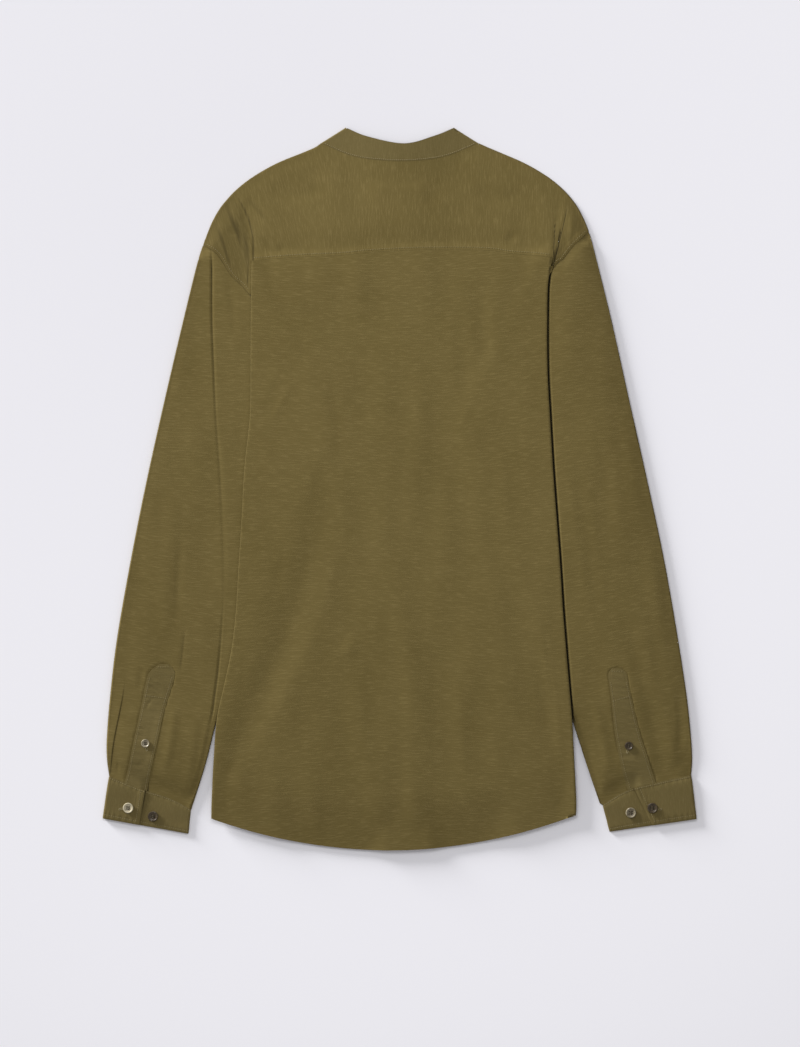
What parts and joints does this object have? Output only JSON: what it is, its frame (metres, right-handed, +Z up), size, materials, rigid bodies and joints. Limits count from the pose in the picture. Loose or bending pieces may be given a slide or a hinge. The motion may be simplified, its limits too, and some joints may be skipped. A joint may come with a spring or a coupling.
{
  "type": "mandarin collar shirt",
  "caption": "Long-sleeved slub-jersey shirt with a band collar, back yoke, buttoned cuffs and sleeve plackets, laid flat face down with its sides tucked in.",
  "frame": {"origin": "middle of the laid shirt's outline, on the surface that it lies on", "axes": "+Y towards the collar, +Z up from the surface, -X towards the wearer's left"},
  "size_m": [0.6524, 0.7937, 0.0091],
  "materials": {
    "jersey": "matt slub cotton jersey, olive",
    "double_jersey": "matt slub cotton jersey, two layers, olive",
    "button": "brown pearl shirt button"
  },
  "bodies": {
    "root": {"back": "jersey", "collar_band": "double_jersey", "collar_button": "button", "cuff_button_left_fastened": "button", "cuff_button_left_spare": "button", "cuff_button_right_fastened": "button", "cuff_button_right_spare": "button", "cuff_left": "double_jersey", "cuff_right": "double_jersey", "front_button_1": "button", "front_button_2": "button", "front_button_3": "button", "front_button_4": "button", "front_button_5": "button", "front_button_6": "button", "front_left": "jersey", "front_placket": "double_jersey", "front_right": "jersey", "placket_button_left": "button", "placket_button_right": "button", "sleeve_left": "jersey", "sleeve_placket_left": "double_jersey", "sleeve_placket_right": "double_jersey", "sleeve_right": "jersey", "yoke": "jersey"}
  },
  "joints": []
}
